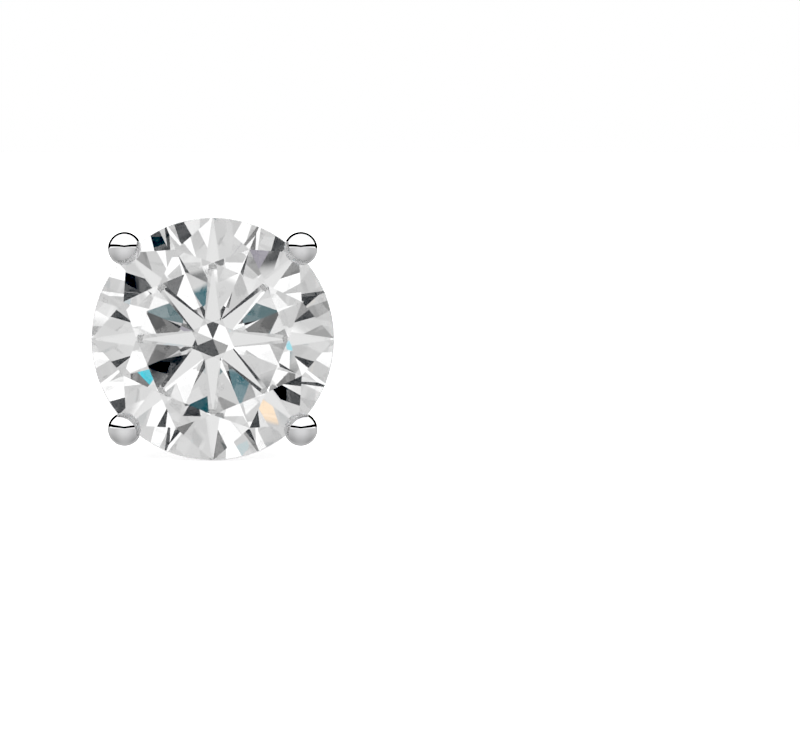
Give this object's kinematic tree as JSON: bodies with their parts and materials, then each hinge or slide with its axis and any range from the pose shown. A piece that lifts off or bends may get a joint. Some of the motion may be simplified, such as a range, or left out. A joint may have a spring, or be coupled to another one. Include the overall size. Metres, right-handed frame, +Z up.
{
  "type": "stud earring",
  "caption": "Solitaire stud earring: a round brilliant-cut stone in a prong basket with ball tips, on an ear post with a friction back.",
  "frame": {"origin": "bottom centre of the earring's box, on the table that it lies on", "axes": "+Z up; +Y along the ear post, from the stone to the friction back; the stone's table facet faces -Y, tipped up by 6.9 degrees; +X to the right of the front view"},
  "size_m": [0.0066, 0.015, 0.0065],
  "materials": {
    "diamond": "polished facets",
    "white_gold": "high polish"
  },
  "bodies": {
    "root": {"brilliant_stone": "diamond", "four_prong_setting": "white_gold", "friction_back": "white_gold"}
  },
  "joints": []
}
